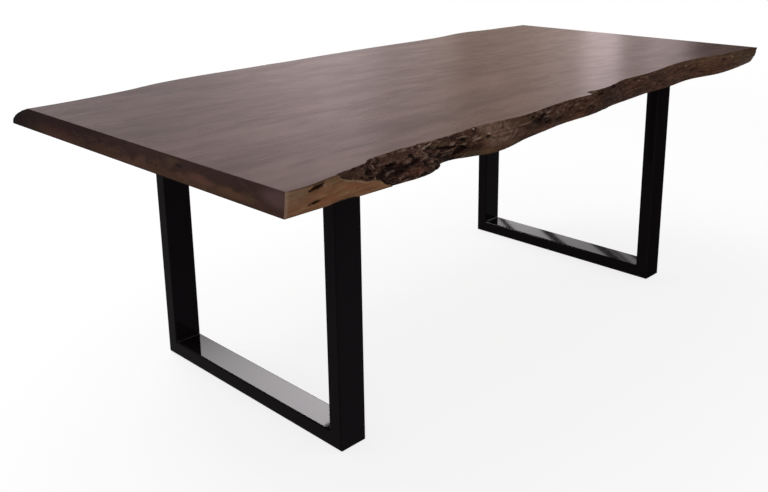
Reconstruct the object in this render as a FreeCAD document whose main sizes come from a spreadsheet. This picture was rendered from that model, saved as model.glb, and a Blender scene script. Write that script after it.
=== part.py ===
import FreeCAD, Part
import Sketcher
import math
import os

# Dining table: an edge-glued wooden top with two live edges, on two welded frames of steel box tube.
# X runs along the table, Y from the front live edge to the back one, and Z up from the floor.

doc = FreeCAD.newDocument("dining_table")
sheet = doc.addObject("Spreadsheet::Sheet", "sizes")

# Driving dimensions in millimetres
DRIVING_SIZES = (
    ("table_height", 760, "floor to the top face"),
    ("slab_length", 2100, "sawn end to sawn end"),
    ("slab_width", 1120, "over the widest points of both live edges"),
    ("slab_thickness", 52, "planed thickness of every board"),
    ("wander_depth", 140, "how far in a live edge wanders from its widest point"),
    ("centre_board_width", 200, "each board between the two live-edge boards"),
    ("end_arris", 1.5, "rounding along the sawn ends"),
    ("end_overhang", 311, "sawn end to the outside of a frame"),
    ("frame_width", 732, "outside of the front upright to outside of the back one"),
    ("frame_offset", 35, "frames' centre behind the middle of the top"),
    ("tube_breadth", 80, "box tube, along the table"),
    ("tube_depth", 40, "box tube, in the frame's plane"),
    ("tube_wall", 3, "box tube"),
    ("tube_corner", 4, "outer corner radius of the box tube"),
    ("plate_width", 150, "top plate, along the table"),
    ("plate_thickness", 6, "top plate"),
    ("bolt_row_gap", 110, "between the two rows of bolts in a plate"),
    ("slot_travel", 12, "how far a bolt can shift along its slot"),
    ("hole_clearance", 0.5, "round a bolt in the plate and in its washer"),
    ("thread_clearance", 0.05, "round a bolt in its insert"),
    ("bolt_radius", 4, "M8"),
    ("bolt_length", 25, "under the head"),
    ("head_across", 13, "across the flats of the hexagon head"),
    ("head_height", 5.3, "hexagon head"),
    ("washer_radius", 12, "wide washer"),
    ("washer_thickness", 2, "wide washer"),
    ("insert_radius", 6, "threaded insert, outside"),
    ("insert_length", 20, "threaded insert, flush with the underside"),
    ("weld_leg", 5, "leg of a fillet weld"),
    ("glide_radius", 15, "glide under a floor rail"),
    ("glide_thickness", 2, "glide under a floor rail"),
    ("glide_inset", 45, "end of a floor rail to a glide's centre"),
    ("overrun", 20, "how far a filling shape runs past what it meets"),
)

# A live edge as rows of shares: the place along the length, then how far in from the widest point the
# edge lies at the underside, half way up and at the top face.
FRONT_EDGE_SHARES = (
    (0.000, 0.06, 0.03, 0.01),
    (0.022, 0.06, 0.03, 0.00),
    (0.045, 0.06, 0.05, 0.05),
    (0.067, 0.06, 0.08, 0.11),
    (0.107, 0.05, 0.11, 0.21),
    (0.143, 0.04, 0.14, 0.35),
    (0.190, 0.11, 0.17, 0.36),
    (0.214, 0.30, 0.24, 0.36),
    (0.238, 0.30, 0.24, 0.38),
    (0.267, 0.15, 0.21, 0.42),
    (0.305, 0.12, 0.21, 0.43),
    (0.350, 0.27, 0.24, 0.37),
    (0.390, 0.35, 0.31, 0.41),
    (0.443, 0.44, 0.41, 0.50),
    (0.505, 0.46, 0.44, 0.51),
    (0.567, 0.60, 0.56, 0.63),
    (0.610, 0.65, 0.66, 0.80),
    (0.667, 0.71, 0.70, 0.81),
    (0.733, 0.71, 0.74, 0.89),
    (0.800, 0.77, 0.81, 0.96),
    (0.855, 0.64, 0.71, 0.89),
    (0.919, 0.64, 0.62, 0.74),
    (0.979, 0.73, 0.63, 0.70),
    (1.000, 0.77, 0.65, 0.61),
)
BACK_EDGE_SHARES = (
    (0.000, 0.08, 0.24, 0.75),
    (0.050, 0.09, 0.25, 0.74),
    (0.083, 0.10, 0.27, 0.69),
    (0.148, 0.11, 0.24, 0.54),
    (0.184, 0.08, 0.18, 0.39),
    (0.220, 0.06, 0.13, 0.32),
    (0.290, 0.04, 0.11, 0.28),
    (0.457, 0.03, 0.10, 0.26),
    (0.625, 0.00, 0.07, 0.24),
    (0.780, 0.04, 0.11, 0.26),
    (0.843, 0.00, 0.05, 0.17),
    (0.893, 0.07, 0.13, 0.29),
    (0.947, 0.13, 0.21, 0.38),
    (1.000, 0.24, 0.31, 0.46),
)
LEVEL_SHARES = (0, 0.5, 1)

CENTRE_BOARDS = ("front_centre_board", "middle_board", "back_centre_board")
FRAMES = (("left", -1), ("right", 1))
QUARTER_TURN = 90
HALF_TURN = 180
HEXAGON_SIDES = 6
TINY = 0.001
ALONG = FreeCAD.Vector(0, 1, 0)
UPWARDS = FreeCAD.Vector(0, 0, 1)

# Places worked out from the driving dimensions, as expressions on the sheet
BOARD_COUNT = str(len(CENTRE_BOARDS))
UNDERSIDE = "(sizes.table_height - sizes.slab_thickness)"
PLATE_UNDERSIDE = "(" + UNDERSIDE + " - sizes.plate_thickness)"
WASHER_UNDERSIDE = "(" + PLATE_UNDERSIDE + " - sizes.washer_thickness)"
RAIL_TOP = "(sizes.glide_thickness + sizes.tube_depth)"
EDGE_BOARD_WIDTH = "((sizes.slab_width - " + BOARD_COUNT + " * sizes.centre_board_width) / 2)"
SEAM_HALF = "(" + BOARD_COUNT + " * sizes.centre_board_width / 2)"
FRAME_X = "(sizes.slab_length / 2 - sizes.end_overhang - sizes.tube_breadth / 2)"
FRAME_FRONT = "(sizes.frame_offset - sizes.frame_width / 2)"
FRAME_BACK = "(sizes.frame_offset + sizes.frame_width / 2)"
HALF_BREADTH = "sizes.tube_breadth / 2"
BOLT_HOLE = "(sizes.bolt_radius + sizes.hole_clearance)"

nodes = []


def fill_sheet():
    """Write each driving dimension in a row of its own, with its name as the alias."""
    for row, (name, value, note) in enumerate(DRIVING_SIZES, start=1):
        sheet.set("A" + str(row), name)
        sheet.set("B" + str(row), str(value))
        sheet.set("C" + str(row), note)
        sheet.setAlias("B" + str(row), name)
    doc.recompute()


def amount(expression):
    """The value of an expression on the sheet, in millimetres."""
    return float(sheet.evalExpression(expression))


def bind(thing, **expressions):
    """Bind properties of an object to expressions on the sheet."""
    for name, expression in expressions.items():
        thing.setExpression(name, expression)


def place(thing, across, along, up, yaw=0, pitch=0, roll=0):
    """Turn an object by quarter turns and bind its place to expressions on the sheet."""
    thing.Placement = FreeCAD.Placement(FreeCAD.Vector(), FreeCAD.Rotation(yaw, pitch, roll))
    thing.setExpression("Placement.Base.x", across)
    thing.setExpression("Placement.Base.y", along)
    thing.setExpression("Placement.Base.z", up)
    return thing


def node(thing, label):
    """Name an object as one of the table's own pieces."""
    thing.Label = label
    nodes.append(thing)
    return thing


def primitive(kind, label, **expressions):
    """A primitive with its sizes bound to the sheet."""
    thing = doc.addObject("Part::" + kind, label)
    bind(thing, **expressions)
    return thing


def boolean(kind, label, base, tool):
    """A cut, fuse or common of two objects."""
    thing = doc.addObject("Part::" + kind, label)
    thing.Base = base
    thing.Tool = tool
    return thing


def group(label, pieces):
    """Separate like solids as one object."""
    thing = doc.addObject("Part::Compound", label)
    thing.Links = pieces
    return thing


def sketch_on(body, role, label):
    """An empty sketch on one of the body's own origin planes."""
    plane = [item for item in body.Origin.OriginFeatures if item.Role == role][0]
    sketch = body.newObject("Sketcher::SketchObject", label)
    sketch.AttachmentSupport = [(plane, "")]
    sketch.MapMode = "FlatFace"
    return sketch


def hold(sketch, kind, piece, corner, expression):
    """Hold a point of a sketch at a signed distance from the sketch's origin."""
    rule = sketch.addConstraint(Sketcher.Constraint(kind, -1, 1, piece, corner, amount(expression)))
    sketch.setExpression("Constraints[" + str(rule) + "]", expression)


def add_outline(sketch, corners):
    """A closed outline of straight lines through corners given as pairs of expressions."""
    points = [FreeCAD.Vector(amount(across), amount(up), 0) for across, up in corners]
    first = sketch.GeometryCount
    for start, end in zip(points, points[1:] + points[:1]):
        sketch.addGeometry(Part.LineSegment(start, end), False)
    for index, (across, up) in enumerate(corners):
        line = first + index
        before = first + (index - 1) % len(corners)
        sketch.addConstraint(Sketcher.Constraint("Coincident", before, 2, line, 1))
        hold(sketch, "DistanceX", line, 1, across)
        hold(sketch, "DistanceY", line, 1, up)


def add_rectangle(sketch, low_x, low_y, high_x, high_y):
    """A closed rectangle between two corners."""
    add_outline(sketch, ((low_x, low_y), (high_x, low_y), (high_x, high_y), (low_x, high_y)))


def add_circle(sketch, across, up, radius):
    """A circle from its centre and radius."""
    centre = FreeCAD.Vector(amount(across), amount(up), 0)
    circle = sketch.addGeometry(Part.Circle(centre, UPWARDS, amount(radius)), False)
    hold(sketch, "DistanceX", circle, 3, across)
    hold(sketch, "DistanceY", circle, 3, up)
    rule = sketch.addConstraint(Sketcher.Constraint("Radius", circle, amount(radius)))
    sketch.setExpression("Constraints[" + str(rule) + "]", radius)


def add_slot(sketch, across, up, radius, travel):
    """A slot along the sketch's Y axis: two half circles joined by tangent lines."""
    x = amount(across)
    y = amount(up)
    r = amount(radius)
    reach = amount(travel) / 2
    full_turn = 2 * math.pi
    far = Part.ArcOfCircle(Part.Circle(FreeCAD.Vector(x, y + reach, 0), UPWARDS, r), 0, math.pi)
    near = Part.ArcOfCircle(Part.Circle(FreeCAD.Vector(x, y - reach, 0), UPWARDS, r), math.pi, full_turn)
    left = Part.LineSegment(FreeCAD.Vector(x - r, y + reach, 0), FreeCAD.Vector(x - r, y - reach, 0))
    right = Part.LineSegment(FreeCAD.Vector(x + r, y - reach, 0), FreeCAD.Vector(x + r, y + reach, 0))
    pieces = [sketch.addGeometry(curve, False) for curve in (far, left, near, right)]
    for piece, following in zip(pieces, pieces[1:] + pieces[:1]):
        sketch.addConstraint(Sketcher.Constraint("Tangent", piece, 2, following, 1))
    hold(sketch, "DistanceX", pieces[0], 3, across)
    hold(sketch, "DistanceY", pieces[0], 3, up + " + " + travel + " / 2")
    hold(sketch, "DistanceY", pieces[2], 3, up + " - " + travel + " / 2")
    rule = sketch.addConstraint(Sketcher.Constraint("Radius", pieces[0], r))
    sketch.setExpression("Constraints[" + str(rule) + "]", radius)


def pad(body, sketch, length):
    """Raise a sketch into a solid."""
    feature = body.newObject("PartDesign::Pad", "pad")
    feature.Profile = sketch
    bind(feature, Length=length)
    doc.recompute()
    return feature


def pocket(body, sketch, depth=None):
    """Sink a sketch into a solid on its positive side, and make sure that it takes material away."""
    before = body.Shape.Volume
    feature = body.newObject("PartDesign::Pocket", "pocket")
    feature.Profile = sketch
    feature.Reversed = True
    if depth is None:
        feature.Type = "ThroughAll"
    else:
        bind(feature, Length=depth)
    doc.recompute()
    if not body.Shape.Volume < before:
        raise RuntimeError(body.Label + ": a pocket took nothing away")
    return feature


def straight_edges(shape, direction):
    """The numbers of a shape's straight edges along a direction, counted from one."""
    numbers = []
    for number, edge in enumerate(shape.Edges, start=1):
        span = edge.Vertexes[-1].Point - edge.Vertexes[0].Point
        if span.Length > TINY and abs(edge.Length - span.Length) < TINY:
            if abs(abs(span.normalize() * direction) - 1) < TINY:
                numbers.append(number)
    return numbers


def round_edges(body, feature, direction, picked, radius):
    """Round those straight edges along a direction whose middle point passes a test."""
    numbers = straight_edges(feature.Shape, direction)
    middles = {number: feature.Shape.Edges[number - 1].CenterOfMass for number in numbers}
    rounding = body.newObject("PartDesign::Fillet", "rounding")
    rounding.Base = (feature, ["Edge" + str(number) for number in numbers if picked(middles[number])])
    bind(rounding, Radius=radius)
    doc.recompute()
    return rounding


# Wooden top

def add_centre_boards():
    """Centre boards side by side, each drilled from below for a line of inserts over both frames."""
    for index, label in enumerate(CENTRE_BOARDS):
        body = doc.addObject("PartDesign::Body", label)
        face = sketch_on(body, "XY_Plane", "face")
        add_rectangle(face, "0", "0", "sizes.slab_length", "sizes.centre_board_width")
        planed = pad(body, face, "sizes.slab_thickness")
        round_edges(body, planed, ALONG, lambda middle: True, "sizes.end_arris")
        drilling = sketch_on(body, "XY_Plane", "drilling")
        for name, side in FRAMES:
            for row in (-1, 1):
                across = "(sizes.slab_length / 2 + " + str(side) + " * " + FRAME_X
                across = across + " + " + str(row) + " * sizes.bolt_row_gap / 2)"
                add_circle(drilling, across, "sizes.centre_board_width / 2", "sizes.insert_radius")
        pocket(body, drilling, "sizes.insert_length")
        along = str(index) + " * sizes.centre_board_width - " + SEAM_HALF
        place(body, "0 - sizes.slab_length / 2", along, UNDERSIDE)
        node(body, label)


def live_edge_form(label, side, edge_shares):
    """A solid that runs out to a live edge: a loft through its outlines at three heights.

    Each outline is a smooth curve through the edge's rows, carried straight on past both sawn ends
    and closed on the far side of the seam.
    """
    half_length = amount("sizes.slab_length / 2")
    half_width = amount("sizes.slab_width / 2")
    depth = amount("sizes.wander_depth")
    overrun = amount("sizes.overrun")
    inside = side * (amount(SEAM_HALF) - overrun)
    outlines = []
    for level, level_share in enumerate(LEVEL_SHARES, start=1):
        height = level_share * amount("sizes.slab_thickness")
        points = []
        for row in edge_shares:
            across = (2 * row[0] - 1) * half_length
            along = side * (half_width - row[level] * depth)
            points.append(FreeCAD.Vector(across, along, height))
        curve = Part.BSplineCurve()
        curve.interpolate(points)
        beyond = FreeCAD.Vector(overrun, 0, 0)
        corners = [points[-1], points[-1] + beyond]
        corners.append(FreeCAD.Vector(half_length + overrun, inside, height))
        corners.append(FreeCAD.Vector(0 - half_length - overrun, inside, height))
        corners = corners + [points[0] - beyond, points[0]]
        lines = [Part.LineSegment(*ends).toShape() for ends in zip(corners, corners[1:])]
        outlines.append(Part.Wire([curve.toShape()] + lines))
    form = doc.addObject("Part::Feature", label)
    form.Shape = Part.makeLoft(outlines, True, False)
    return form


def add_live_edge_board(label, side, edge_shares):
    """A board that keeps the tree's own edge on its outer side and is sawn square on the other three."""
    width = EDGE_BOARD_WIDTH + " + sizes.overrun"
    height = "sizes.slab_thickness + 2 * sizes.overrun"
    saw = primitive("Box", label + "_saw", Length="sizes.slab_length", Width=width, Height=height)
    if side < 0:
        along = "0 - sizes.slab_width / 2 - sizes.overrun"
    else:
        along = SEAM_HALF
    place(saw, "0 - sizes.slab_length / 2", along, "0 - sizes.overrun")
    form = live_edge_form(label + "_form", side, edge_shares)
    sawn = boolean("Common", label + "_sawn", saw, form)
    doc.recompute()
    board = doc.addObject("Part::Fillet", label)
    board.Base = sawn
    radius = amount("sizes.end_arris")
    board.Edges = [(number, radius, radius) for number in straight_edges(sawn.Shape, ALONG)]
    place(board, "0", "0", UNDERSIDE)
    node(board, label)


# Steel frames

def box_tube(label, length, mitres):
    """A box tube up the Z axis, its outer side on Y = 0, with 45 degree mitres at one or both ends."""
    body = doc.addObject("PartDesign::Body", label)
    section = sketch_on(body, "XY_Plane", "section")
    add_rectangle(section, "0", "0", "sizes.tube_breadth", "sizes.tube_depth")
    inner_x = "sizes.tube_breadth - sizes.tube_wall"
    inner_y = "sizes.tube_depth - sizes.tube_wall"
    add_rectangle(section, "sizes.tube_wall", "sizes.tube_wall", inner_x, inner_y)
    raised = pad(body, section, length)
    wall = amount("sizes.tube_wall")
    breadth = amount("sizes.tube_breadth")

    def outside(middle):
        return middle.x < wall / 2 or middle.x > breadth - wall / 2

    def inside(middle):
        return not outside(middle)

    rounded = round_edges(body, raised, UPWARDS, outside, "sizes.tube_corner")
    round_edges(body, rounded, UPWARDS, inside, "sizes.tube_corner - sizes.tube_wall")
    ends = sketch_on(body, "YZ_Plane", "mitres")
    depth = "sizes.tube_depth"
    add_outline(ends, (("0", "0"), (depth, "0"), (depth, depth)))
    if mitres == 2:
        far = "(" + length + ")"
        add_outline(ends, (("0", far), (depth, far + " - " + depth), (depth, far)))
    pocket(body, ends)
    return body


def bead(label, run, across, along, up, yaw=0, pitch=0):
    """A fillet weld: a wedge along X with its square corner on the joint's line."""
    thing = primitive("Wedge", label, Xmax=run, X2max=run, Ymax="sizes.weld_leg", Zmax="sizes.weld_leg")
    bind(thing, Xmin="0", X2min="0", Ymin="0", Zmin="0", Z2min="0", Z2max="0")
    return place(thing, across, along, up, yaw, pitch)


def add_corner_welds(name, frame_x):
    """Welds in the two inner bottom corners, across the flat of the tube."""
    run = "(sizes.tube_breadth - 2 * sizes.tube_corner)"
    front = FRAME_FRONT + " + sizes.tube_depth"
    back = FRAME_BACK + " - sizes.tube_depth"
    near = bead(name + "_front_bead", run, frame_x + " - " + run + " / 2", front, RAIL_TOP)
    far = bead(name + "_back_bead", run, frame_x + " + " + run + " / 2", back, RAIL_TOP, HALF_TURN)
    node(group(name + "_corner_welds", [near, far]), name + "_corner_welds")


def add_plate_welds(name, frame_x):
    """Welds round three sides of each upright, under the top plate."""
    across_run = "(sizes.tube_breadth - 2 * sizes.tube_corner)"
    along_run = "(sizes.tube_depth - 2 * sizes.tube_corner)"
    up = PLATE_UNDERSIDE
    beads = []
    for end, inward, face, start in (
        ("front", 1, FRAME_FRONT + " + sizes.tube_depth", FRAME_FRONT),
        ("back", -1, FRAME_BACK + " - sizes.tube_depth", FRAME_BACK + " - sizes.tube_depth"),
    ):
        label = name + "_" + end + "_plate_bead"
        over = HALF_TURN
        turn = 0 if inward > 0 else HALF_TURN
        across = frame_x + " + " + str(inward) + " * " + across_run + " / 2"
        beads.append(bead(label, across_run, across, face, up, turn, over))
        middle = start + " + sizes.tube_depth / 2"
        for side in (-1, 1):
            across = frame_x + " + " + str(side) + " * " + HALF_BREADTH
            along = middle + " - " + str(side) + " * " + along_run + " / 2"
            turn = 0 - side * QUARTER_TURN
            beads.append(bead(label, along_run, across, along, up, turn, over))
    node(group(name + "_plate_welds", beads), name + "_plate_welds")


def bolt_lines():
    """Each line of bolts across the table, as its place from the middle of the top."""
    middle = (len(CENTRE_BOARDS) - 1) / 2
    return [str(index - middle) + " * sizes.centre_board_width" for index in range(len(CENTRE_BOARDS))]


def add_top_plate(name, frame_x):
    """A flat bar with round holes in its middle and slots either side, where the wood moves."""
    body = doc.addObject("PartDesign::Body", name + "_top_plate")
    face = sketch_on(body, "XY_Plane", "face")
    add_rectangle(face, "0", "0", "sizes.plate_width", "sizes.frame_width")
    pad(body, face, "sizes.plate_thickness")
    holes = sketch_on(body, "XY_Plane", "holes")
    lines = bolt_lines()
    for index, line in enumerate(lines):
        along = "(sizes.frame_width / 2 - sizes.frame_offset + " + line + ")"
        for row in (-1, 1):
            across = "(sizes.plate_width / 2 + " + str(row) + " * sizes.bolt_row_gap / 2)"
            if index == len(lines) // 2:
                add_circle(holes, across, along, BOLT_HOLE)
            else:
                add_slot(holes, across, along, BOLT_HOLE, "sizes.slot_travel")
    pocket(body, holes)
    place(body, frame_x + " - sizes.plate_width / 2", FRAME_FRONT, PLATE_UNDERSIDE)
    node(body, name + "_top_plate")


def add_fasteners(name, frame_x):
    """Bolts, washers and inserts, one of each at every hole of a plate."""
    bolts = []
    washers = []
    inserts = []
    for line in bolt_lines():
        for row in (-1, 1):
            across = frame_x + " + " + str(row) + " * sizes.bolt_row_gap / 2"
            across_flats = "sizes.head_across / 2 / cos(" + str(HALF_TURN / HEXAGON_SIDES) + ")"
            head = primitive("Prism", name + "_head", Circumradius=across_flats, Height="sizes.head_height")
            head.Polygon = HEXAGON_SIDES
            place(head, across, line, WASHER_UNDERSIDE + " - sizes.head_height")
            length = "sizes.bolt_length"
            shank = primitive("Cylinder", name + "_shank", Radius="sizes.bolt_radius", Height=length)
            place(shank, across, line, WASHER_UNDERSIDE)
            bolts.append(boolean("Fuse", name + "_bolt", head, shank))
            thick = "sizes.washer_thickness"
            disc = primitive("Cylinder", name + "_disc", Radius="sizes.washer_radius", Height=thick)
            bore = primitive("Cylinder", name + "_bore", Radius=BOLT_HOLE, Height=thick)
            for thing in (disc, bore):
                place(thing, across, line, WASHER_UNDERSIDE)
            washers.append(boolean("Cut", name + "_washer", disc, bore))
            thread = "sizes.bolt_radius + sizes.thread_clearance"
            deep = "sizes.insert_length"
            sleeve = primitive("Cylinder", name + "_sleeve", Radius="sizes.insert_radius", Height=deep)
            tapping = primitive("Cylinder", name + "_tapping", Radius=thread, Height=deep)
            for thing in (sleeve, tapping):
                place(thing, across, line, UNDERSIDE)
            inserts.append(boolean("Cut", name + "_insert", sleeve, tapping))
    node(group(name + "_bolts", bolts), name + "_bolts")
    node(group(name + "_washers", washers), name + "_washers")
    node(group(name + "_inserts", inserts), name + "_inserts")


def add_glides(name, frame_x):
    """Thin round pads that carry the floor rail near its two ends."""
    for end, along in (
        ("front", FRAME_FRONT + " + sizes.glide_inset"),
        ("back", FRAME_BACK + " - sizes.glide_inset"),
    ):
        label = name + "_" + end + "_glide"
        glide = primitive("Cylinder", label, Radius="sizes.glide_radius", Height="sizes.glide_thickness")
        place(glide, frame_x, along, "0")
        node(glide, label)


def add_frame(name, side):
    """One frame with all that is welded, bolted or stuck to it."""
    frame_x = "(" + str(side) + " * " + FRAME_X + ")"
    left_side = frame_x + " - " + HALF_BREADTH
    right_side = frame_x + " + " + HALF_BREADTH
    upright_length = PLATE_UNDERSIDE + " - sizes.glide_thickness"
    front = box_tube(name + "_front_upright", upright_length, 1)
    place(front, left_side, FRAME_FRONT, "sizes.glide_thickness")
    node(front, name + "_front_upright")
    back = box_tube(name + "_back_upright", upright_length, 1)
    place(back, right_side, FRAME_BACK, "sizes.glide_thickness", HALF_TURN)
    node(back, name + "_back_upright")
    rail = box_tube(name + "_floor_rail", "sizes.frame_width", 2)
    place(rail, right_side, FRAME_FRONT, "sizes.glide_thickness", HALF_TURN, 0, QUARTER_TURN)
    node(rail, name + "_floor_rail")
    add_top_plate(name, frame_x)
    add_corner_welds(name, frame_x)
    add_plate_welds(name, frame_x)
    add_fasteners(name, frame_x)
    add_glides(name, frame_x)


def check_document():
    """Stop if any object failed or any piece has no valid shape."""
    for thing in doc.Objects:
        if "Invalid" in thing.State or "Error" in thing.State:
            raise RuntimeError(thing.Label + " failed: " + ", ".join(thing.State))
    for thing in nodes:
        if thing.Shape.isNull() or not thing.Shape.isValid():
            raise RuntimeError(thing.Label + " has no valid shape")


fill_sheet()
add_live_edge_board("front_live_edge_board", -1, FRONT_EDGE_SHARES)
add_centre_boards()
add_live_edge_board("back_live_edge_board", 1, BACK_EDGE_SHARES)
for frame_name, frame_side in FRAMES:
    add_frame(frame_name, frame_side)
doc.recompute()
check_document()

os.makedirs("parts", exist_ok=True)
for thing in nodes:
    thing.Shape.exportStep("parts/" + thing.Label + ".step")
    box = thing.Shape.BoundBox
    print(thing.Label, len(thing.Shape.Solids), "solids", round(thing.Shape.Volume),
          "x", round(box.XMin, 2), round(box.XMax, 2), "y", round(box.YMin, 2), round(box.YMax, 2),
          "z", round(box.ZMin, 2), round(box.ZMax, 2))
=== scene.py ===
# The looks of the dining table: an oiled slab with two live edges on black box-tube frames.
# Metres, in the CAD model's frame: X along the table, Y from the front live edge to the back one, Z up.
import math

import bmesh
import bpy
import numpy as np
from mathutils import Matrix, Vector


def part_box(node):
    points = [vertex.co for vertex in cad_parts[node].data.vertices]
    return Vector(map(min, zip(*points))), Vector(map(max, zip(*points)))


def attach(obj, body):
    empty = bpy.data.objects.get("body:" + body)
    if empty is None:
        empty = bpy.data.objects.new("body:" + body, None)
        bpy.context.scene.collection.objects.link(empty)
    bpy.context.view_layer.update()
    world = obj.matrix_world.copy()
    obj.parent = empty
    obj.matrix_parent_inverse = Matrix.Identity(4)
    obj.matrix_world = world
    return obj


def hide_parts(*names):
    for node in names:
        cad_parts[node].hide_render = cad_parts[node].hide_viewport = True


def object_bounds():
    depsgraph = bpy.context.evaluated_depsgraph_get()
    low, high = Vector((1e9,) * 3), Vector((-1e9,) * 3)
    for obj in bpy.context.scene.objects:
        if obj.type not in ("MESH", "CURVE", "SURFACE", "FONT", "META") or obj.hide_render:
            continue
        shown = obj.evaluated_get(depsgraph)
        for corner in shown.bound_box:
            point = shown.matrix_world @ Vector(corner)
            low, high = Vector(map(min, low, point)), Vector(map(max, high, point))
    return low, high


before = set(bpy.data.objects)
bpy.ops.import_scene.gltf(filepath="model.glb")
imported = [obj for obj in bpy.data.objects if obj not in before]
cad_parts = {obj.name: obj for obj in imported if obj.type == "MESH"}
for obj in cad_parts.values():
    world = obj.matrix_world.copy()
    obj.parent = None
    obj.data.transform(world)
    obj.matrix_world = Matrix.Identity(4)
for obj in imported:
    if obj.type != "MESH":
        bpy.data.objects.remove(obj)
cad_box = [list(corner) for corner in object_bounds()]

# Places read from the CAD nodes
SLAB_LOW, SLAB_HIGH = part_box("middle_board")
HALF_LENGTH = SLAB_HIGH.x
TOP = SLAB_HIGH.z
UNDERSIDE = SLAB_LOW.z
THICKNESS = TOP - UNDERSIDE
FRONT_GLUE_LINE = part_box("front_live_edge_board")[1].y
BACK_GLUE_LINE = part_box("back_live_edge_board")[0].y
FRONT_REACH = cad_box[0][1]
BACK_REACH = cad_box[1][1]

# The live edges as the CAD model has them: a share of the length, then how far in from the widest point
# the edge lies at the underside, half way up and at the top, as shares of the wander.
HALF_WIDTH = 0.560
WANDER = 0.140
END_ARRIS = 0.0015
EDGE_ARRIS = 0.0012
FRONT_EDGE_SHARES = np.array((
    (0.000, 0.06, 0.03, 0.01),
    (0.022, 0.06, 0.03, 0.00),
    (0.045, 0.06, 0.05, 0.05),
    (0.067, 0.06, 0.08, 0.11),
    (0.107, 0.05, 0.11, 0.21),
    (0.143, 0.04, 0.14, 0.35),
    (0.190, 0.11, 0.17, 0.36),
    (0.214, 0.30, 0.24, 0.36),
    (0.238, 0.30, 0.24, 0.38),
    (0.267, 0.15, 0.21, 0.42),
    (0.305, 0.12, 0.21, 0.43),
    (0.350, 0.27, 0.24, 0.37),
    (0.390, 0.35, 0.31, 0.41),
    (0.443, 0.44, 0.41, 0.50),
    (0.505, 0.46, 0.44, 0.51),
    (0.567, 0.60, 0.56, 0.63),
    (0.610, 0.65, 0.66, 0.80),
    (0.667, 0.71, 0.70, 0.81),
    (0.733, 0.71, 0.74, 0.89),
    (0.800, 0.77, 0.81, 0.96),
    (0.855, 0.64, 0.71, 0.89),
    (0.919, 0.64, 0.62, 0.74),
    (0.979, 0.73, 0.63, 0.70),
    (1.000, 0.77, 0.65, 0.61),
))
BACK_EDGE_SHARES = np.array((
    (0.000, 0.08, 0.24, 0.75),
    (0.050, 0.09, 0.25, 0.74),
    (0.083, 0.10, 0.27, 0.69),
    (0.148, 0.11, 0.24, 0.54),
    (0.184, 0.08, 0.18, 0.39),
    (0.220, 0.06, 0.13, 0.32),
    (0.290, 0.04, 0.11, 0.28),
    (0.457, 0.03, 0.10, 0.26),
    (0.625, 0.00, 0.07, 0.24),
    (0.780, 0.04, 0.11, 0.26),
    (0.843, 0.00, 0.05, 0.17),
    (0.893, 0.07, 0.13, 0.29),
    (0.947, 0.13, 0.21, 0.38),
    (1.000, 0.24, 0.31, 0.46),
))

CAMERA_PLACE = (-1.9693, -1.7205, 1.2243)

# The room as the top mirrors it: degrees from +X towards +Y, brightness at floor level, warmth of colour
ROOM = np.array((
    (0.0, 0.08, 0.3), (25.7, 0.08, 0.3), (27.0, 0.80, 0.3), (28.0, 0.87, 0.3), (29.3, 0.57, 0.4),
    (30.1, 0.62, 0.4), (30.5, 1.50, 0.35), (32.2, 1.43, 0.4), (32.7, 0.84, 0.6), (34.6, 0.72, 0.8),
    (35.8, 0.57, 1.0), (38.0, 0.53, 1.0), (39.6, 0.45, 1.0), (41.4, 0.73, 0.7), (43.0, 0.73, 0.5),
    (44.6, 0.70, 0.4), (46.8, 1.02, 0.3), (48.6, 1.08, 0.3), (52.0, 0.90, 0.3), (57.0, 0.58, 0.1),
    (61.0, 0.48, 0.0), (90.0, 0.46, 0.0),
))

# Spots on the live edges, in millimetres: along from the left end, up from the underside, half length,
# half height, strength, and the rise of the spot's axis for each millimetre along. A hollow's strength is
# its depth, and any other spot's is its share of the colour.
FRONT_HOLLOWS = np.array((
    (73, 42.4, 18, 3.6, 8, 0.10),
    (72, 15.0, 9, 2.3, 7, 0.10),
    (58, 13.4, 4, 1.6, 5, 0.10),
    (143, 0.0, 34, 2.6, 5, 0.00),
    (219, 34.3, 12, 4.6, 7, -0.05),
    (246, 24.0, 14, 3.0, 5, 0.10),
    (262, 43.0, 9, 3.0, 4, 0.25),
    (285, 32.1, 13, 4.4, 8, 0.30),
    (300, 19.0, 16, 2.6, 5, -0.10),
    (350, 38.3, 7, 3.0, 6, 0.00),
    (338, 26.0, 26, 2.4, 5, 0.12),
    (406, 5.2, 7, 3.8, 6, 0.30),
    (410, 40.6, 9, 3.0, 6, 0.05),
    (460, 33.7, 30, 2.6, 7, -0.105),
    (500, 21.0, 22, 7.0, 9, 0.10),
    (520, 37.5, 7, 4.2, 6, 0.00),
    (577, 48.6, 11, 3.6, 4, 0.05),
    (601, 30.9, 9, 3.2, 6, 0.10),
    (777, 42.7, 7, 2.6, 5, 0.05),
    (825, 40.1, 15, 3.8, 7, 0.08),
    (803, 30.4, 17, 4.6, 7, -0.05),
    (812, 34.0, 36, 10.0, 2.2, 0.00),
    (843, 22.0, 14, 3.4, 4, 0.20),
    (905, 20.0, 16, 2.2, 3, 0.10),
    (960, 33.0, 13, 2.6, 4, 0.15),
    (1040, 24.0, 12, 2.6, 4, 0.20),
    (1074, 39.0, 8, 7.5, 5, 0.00),
    (1127, 40.0, 12, 3.0, 5, 0.05),
    (1205, 47.0, 12, 3.4, 5, 0.05),
    (1238, 34.1, 9, 3.2, 4, 0.08),
    (1480, 22.0, 16, 2.2, 3, -0.05),
    (1700, 28.0, 18, 2.4, 3, 0.06),
    (1880, 38.0, 14, 2.2, 3, 0.00),
))
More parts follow.
